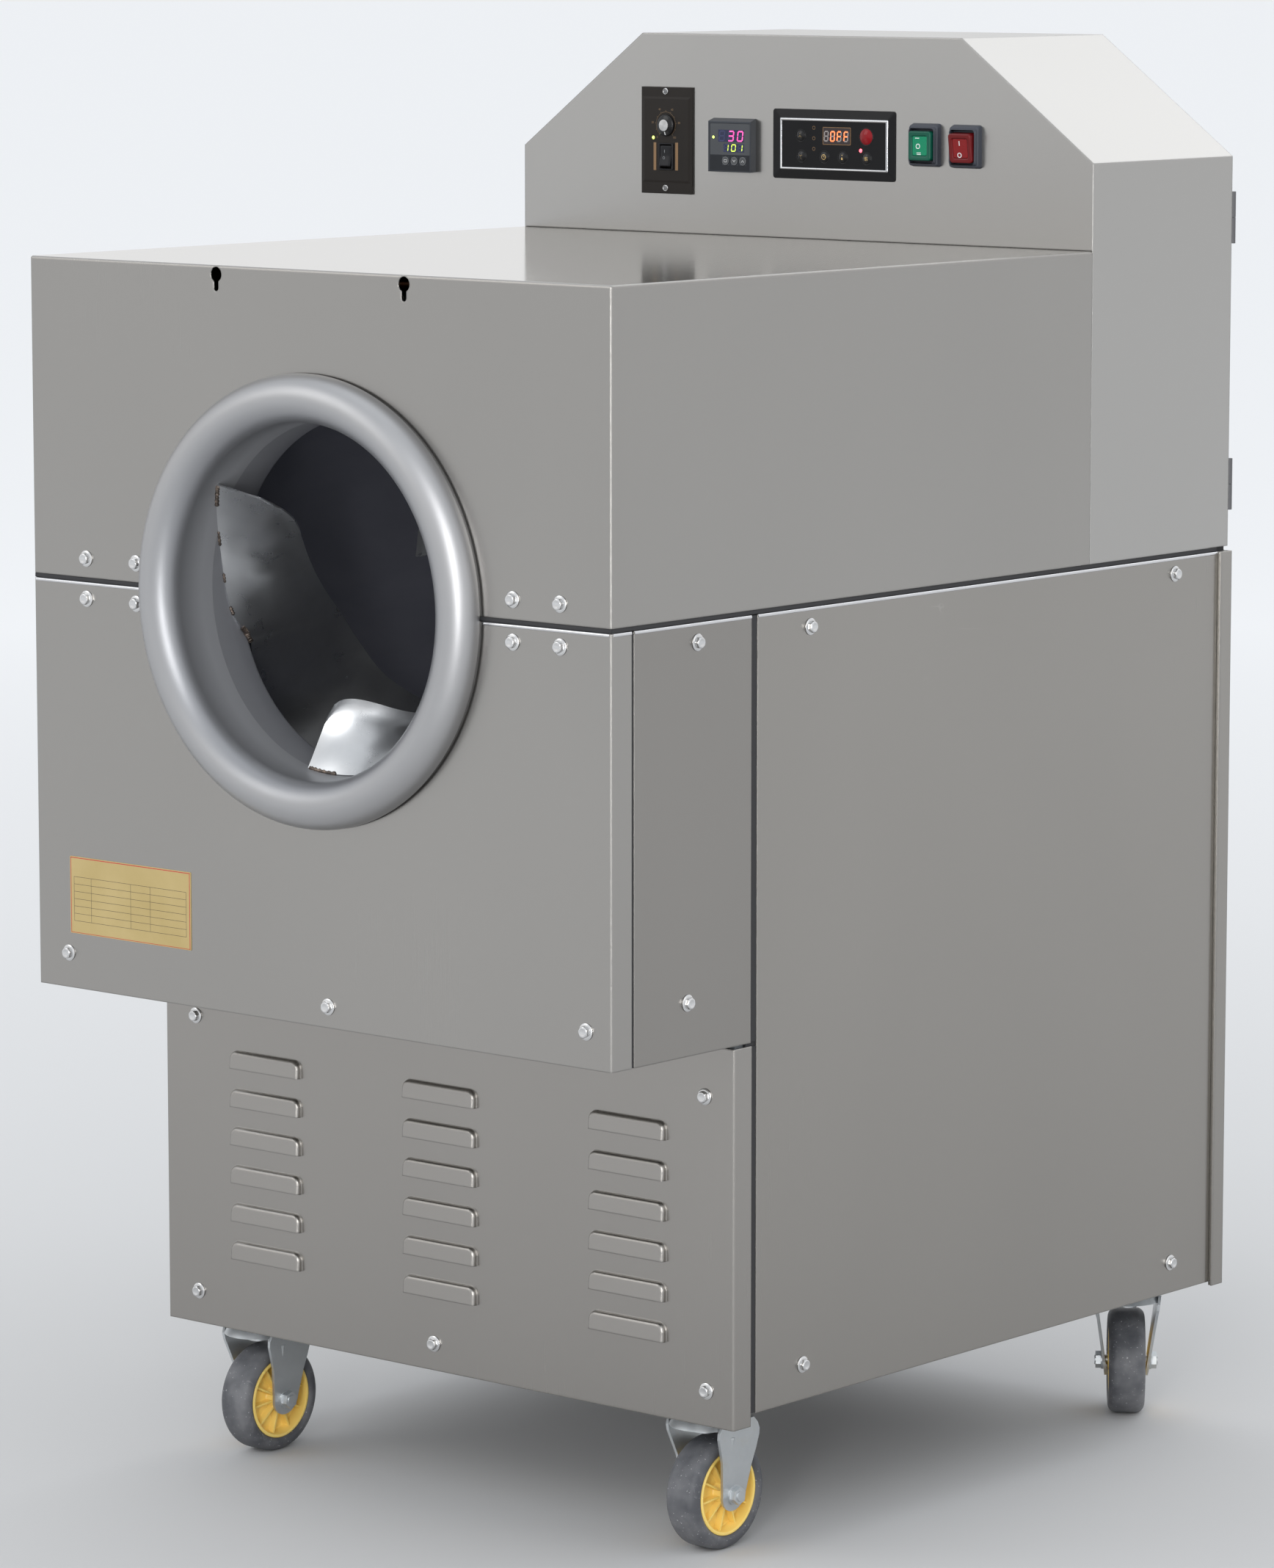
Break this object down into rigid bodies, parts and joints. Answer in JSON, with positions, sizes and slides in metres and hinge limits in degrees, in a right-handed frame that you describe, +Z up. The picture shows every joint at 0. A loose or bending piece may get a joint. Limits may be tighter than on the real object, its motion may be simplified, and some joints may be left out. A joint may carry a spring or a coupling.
{
  "type": "grain roasting machine",
  "caption": "Electric drum roaster on swivel casters: open steel drum with spiral vanes behind a rolled mouth ring, chamfered control housing at the rear, louvred lower cabinet.",
  "frame": {"origin": "middle of the footprint on the floor", "axes": "+Z up, -Y towards the operator at the drum mouth, +X to the right-hand side seen from behind the drum mouth looking in"},
  "size_m": [0.737, 0.9921, 1.393],
  "materials": {
    "casing": "brushed stainless sheet",
    "name_plate": "satin, warm gold tint, blank",
    "fasteners": "bright zinc",
    "ring": "polished satin",
    "drum_steel": "heat-toned steel",
    "vane_steel": "satin",
    "machined_steel": "machined",
    "chain_steel": "oiled",
    "frame_paint": "satin grey paint",
    "bearing_iron": "painted casting",
    "motor_paint": "satin paint",
    "coil_copper": "copper tube",
    "ceramic_wool": "matt fibre mat",
    "module_case": "plain sheet",
    "fan_plastic": "moulded",
    "seal_rubber": "matt black",
    "gland_plastic": "nylon",
    "speed_plate": "fine texture",
    "knob_plastic": "moulded",
    "speed_rocker_plastic": "moulded",
    "temperature_body": "moulded",
    "temperature_button": "moulded",
    "power_body": "moulded",
    "power_button": "moulded",
    "power_button_red": "moulded",
    "boot_rubber": "soft moulded",
    "green_rocker": "translucent look",
    "red_rocker": "translucent look",
    "zinc_plate": "galvanised",
    "caster_wheel": "polyurethane tread on a nylon hub"
  },
  "bodies": {
    "chassis": {"base_frame": "frame_paint", "upper_cover": "casing", "control_tower": "casing", "lower_front_panel": "casing", "louvre_panel": "casing", "left_side_panel": "casing", "right_side_panel": "casing", "front_side_panels": "casing", "rear_panel": "casing", "body_seals": "seal_rubber", "blank_plate": "name_plate", "panel_fasteners": "fasteners", "speed_controller": "speed_plate", "temperature_controller": "temperature_body", "power_controller": "power_body", "switch_boots": "boot_rubber", "gear_motor": "motor_paint", "drive_chain": "chain_steel", "rear_bearing": "bearing_iron", "roller_brackets": "frame_paint", "induction_coil": "coil_copper", "insulation_jacket": "ceramic_wool", "power_module": "module_case", "fan_frame": "fan_plastic", "hinge_fixed_leaves": "fasteners", "cable_gland": "gland_plastic", "caster_plates": "zinc_plate"},
    "drum": {"drum_shell": "drum_steel", "mouth_ring": "ring", "drum_vanes": "vane_steel", "drum_shaft": "machined_steel", "drum_sprocket": "machined_steel"},
    "motor_shaft": {"motor_sprocket": "machined_steel"},
    "roller_left": {"front_roller_left": "machined_steel"},
    "roller_right": {"front_roller_right": "machined_steel"},
    "fan": {"fan_rotor": "fan_plastic"},
    "door": {"rear_door": "casing", "hinge_door_leaves": "fasteners"},
    "latch": {"door_latch": "fasteners"},
    "knob": {"speed_knob": "knob_plastic"},
    "rocker_speed": {"speed_rocker": "speed_rocker_plastic"},
    "rocker_mode": {"mode_rocker": "green_rocker"},
    "rocker_power": {"power_rocker": "red_rocker"},
    "temp_button_set": {"temp_button_set": "temperature_button"},
    "temp_button_down": {"temp_button_down": "temperature_button"},
    "temp_button_up": {"temp_button_up": "temperature_button"},
    "power_button_raise": {"power_button_raise": "power_button"},
    "power_button_lower": {"power_button_lower": "power_button"},
    "power_button_timer": {"power_button_timer": "power_button"},
    "power_button_mode": {"power_button_mode": "power_button"},
    "power_button_heat": {"power_button_heat": "power_button"},
    "power_button_start": {"power_button_start": "power_button_red"},
    "caster_fork_front_left": {"caster_fork_front_left": "zinc_plate"},
    "caster_wheel_front_left": {"caster_wheel_front_left": "caster_wheel"},
    "caster_fork_front_right": {"caster_fork_front_right": "zinc_plate"},
    "caster_wheel_front_right": {"caster_wheel_front_right": "caster_wheel"},
    "caster_fork_rear_left": {"caster_fork_rear_left": "zinc_plate"},
    "caster_wheel_rear_left": {"caster_wheel_rear_left": "caster_wheel"},
    "caster_fork_rear_right": {"caster_fork_rear_right": "zinc_plate"},
    "caster_wheel_rear_right": {"caster_wheel_rear_right": "caster_wheel"}
  },
  "joints": [
    {"name": "drum_spin", "type": "hinge", "parent": "chassis", "child": "drum", "pos_m": [0, -0.17, 0.888], "axis": [0, 1, 0], "continuous": true},
    {"name": "motor_spin", "type": "hinge", "parent": "chassis", "child": "motor_shaft", "pos_m": [0, 0.17, 0.54], "axis": [0, 1, 0], "continuous": true},
    {"name": "roller_left_spin", "type": "hinge", "parent": "chassis", "child": "roller_left", "pos_m": [-0.09365, -0.41, 0.72579], "axis": [0, 1, 0], "continuous": true},
    {"name": "roller_right_spin", "type": "hinge", "parent": "chassis", "child": "roller_right", "pos_m": [0.09365, -0.41, 0.72579], "axis": [0, 1, 0], "continuous": true},
    {"name": "fan_spin", "type": "hinge", "parent": "chassis", "child": "fan", "pos_m": [0, 0.45, 0.3], "axis": [0, 1, 0], "continuous": true},
    {"name": "door_swing", "type": "hinge", "parent": "chassis", "child": "door", "pos_m": [0.3596, 0.4764, 1.083], "axis": [0, 0, -1], "range_deg": [0, 115]},
    {"name": "latch_turn", "type": "hinge", "parent": "door", "child": "latch", "pos_m": [-0.33, 0.472, 1.09], "axis": [0, -1, 0], "range_deg": [0, 90]},
    {"name": "knob_turn", "type": "hinge", "parent": "chassis", "child": "knob", "pos_m": [-0.1692, 0.23965, 1.3004], "axis": [0, 1, 0], "range_deg": [-140, 140]},
    {"name": "speed_rocker_tilt", "type": "hinge", "parent": "chassis", "child": "rocker_speed", "pos_m": [-0.1691, 0.24065, 1.269], "axis": [1, 0, 0], "range_deg": [0, 12]},
    {"name": "mode_rocker_tilt", "type": "hinge", "parent": "chassis", "child": "rocker_mode", "pos_m": [0.1609, 0.23465, 1.288], "axis": [1, 0, 0], "range_deg": [-8, 8]},
    {"name": "power_rocker_tilt", "type": "hinge", "parent": "chassis", "child": "rocker_power", "pos_m": [0.2107, 0.23465, 1.2876], "axis": [1, 0, 0], "range_deg": [-16, 0]},
    {"name": "temp_button_set_press", "type": "slide", "parent": "chassis", "child": "temp_button_set", "axis": [0, 1, 0], "range_m": [0, 0.0006], "stiffness_N_per_m": 150, "springref_m": -0.0005},
    {"name": "temp_button_down_press", "type": "slide", "parent": "chassis", "child": "temp_button_down", "axis": [0, 1, 0], "range_m": [0, 0.0006], "stiffness_N_per_m": 150, "springref_m": -0.0005},
    {"name": "temp_button_up_press", "type": "slide", "parent": "chassis", "child": "temp_button_up", "axis": [0, 1, 0], "range_m": [0, 0.0006], "stiffness_N_per_m": 150, "springref_m": -0.0005},
    {"name": "power_button_raise_press", "type": "slide", "parent": "chassis", "child": "power_button_raise", "axis": [0, 1, 0], "range_m": [0, 0.001], "stiffness_N_per_m": 150, "springref_m": -0.0005},
    {"name": "power_button_lower_press", "type": "slide", "parent": "chassis", "child": "power_button_lower", "axis": [0, 1, 0], "range_m": [0, 0.001], "stiffness_N_per_m": 150, "springref_m": -0.0005},
    {"name": "power_button_timer_press", "type": "slide", "parent": "chassis", "child": "power_button_timer", "axis": [0, 1, 0], "range_m": [0, 0.001], "stiffness_N_per_m": 150, "springref_m": -0.0005},
    {"name": "power_button_mode_press", "type": "slide", "parent": "chassis", "child": "power_button_mode", "axis": [0, 1, 0], "range_m": [0, 0.001], "stiffness_N_per_m": 150, "springref_m": -0.0005},
    {"name": "power_button_heat_press", "type": "slide", "parent": "chassis", "child": "power_button_heat", "axis": [0, 1, 0], "range_m": [0, 0.001], "stiffness_N_per_m": 150, "springref_m": -0.0005},
    {"name": "power_button_start_press", "type": "slide", "parent": "chassis", "child": "power_button_start", "axis": [0, 1, 0], "range_m": [0, 0.001], "stiffness_N_per_m": 150, "springref_m": -0.0005},
    {"name": "caster_front_left_swivel", "type": "hinge", "parent": "chassis", "child": "caster_fork_front_left", "pos_m": [-0.288, -0.249, 0.124], "axis": [0, 0, 1], "continuous": true},
    {"name": "caster_front_left_roll", "type": "hinge", "parent": "caster_fork_front_left", "child": "caster_wheel_front_left", "pos_m": [-0.288, -0.235, 0.0535], "axis": [1, 0, 0], "continuous": true},
    {"name": "caster_front_right_swivel", "type": "hinge", "parent": "chassis", "child": "caster_fork_front_right", "pos_m": [0.288, -0.249, 0.124], "axis": [0, 0, 1], "continuous": true},
    {"name": "caster_front_right_roll", "type": "hinge", "parent": "caster_fork_front_right", "child": "caster_wheel_front_right", "pos_m": [0.288, -0.235, 0.0535], "axis": [1, 0, 0], "continuous": true},
    {"name": "caster_rear_left_swivel", "type": "hinge", "parent": "chassis", "child": "caster_fork_rear_left", "pos_m": [-0.282, 0.428, 0.124], "axis": [0, 0, 1], "continuous": true},
    {"name": "caster_rear_left_roll", "type": "hinge", "parent": "caster_fork_rear_left", "child": "caster_wheel_rear_left", "pos_m": [-0.27524, 0.4425, 0.0535], "axis": [0.9063, -0.4226, 0], "continuous": true},
    {"name": "caster_rear_right_swivel", "type": "hinge", "parent": "chassis", "child": "caster_fork_rear_right", "pos_m": [0.282, 0.428, 0.124], "axis": [0, 0, 1], "continuous": true},
    {"name": "caster_rear_right_roll", "type": "hinge", "parent": "caster_fork_rear_right", "child": "caster_wheel_rear_right", "pos_m": [0.27224, 0.44068, 0.0535], "axis": [0.7923, 0.6101, 0], "continuous": true}
  ],
  "couplings": [
    {"joint": "motor_spin", "follows": "drum_spin", "ratio": 2.7143},
    {"joint": "roller_left_spin", "follows": "drum_spin", "ratio": -8.35},
    {"joint": "roller_right_spin", "follows": "drum_spin", "ratio": -8.35}
  ]
}
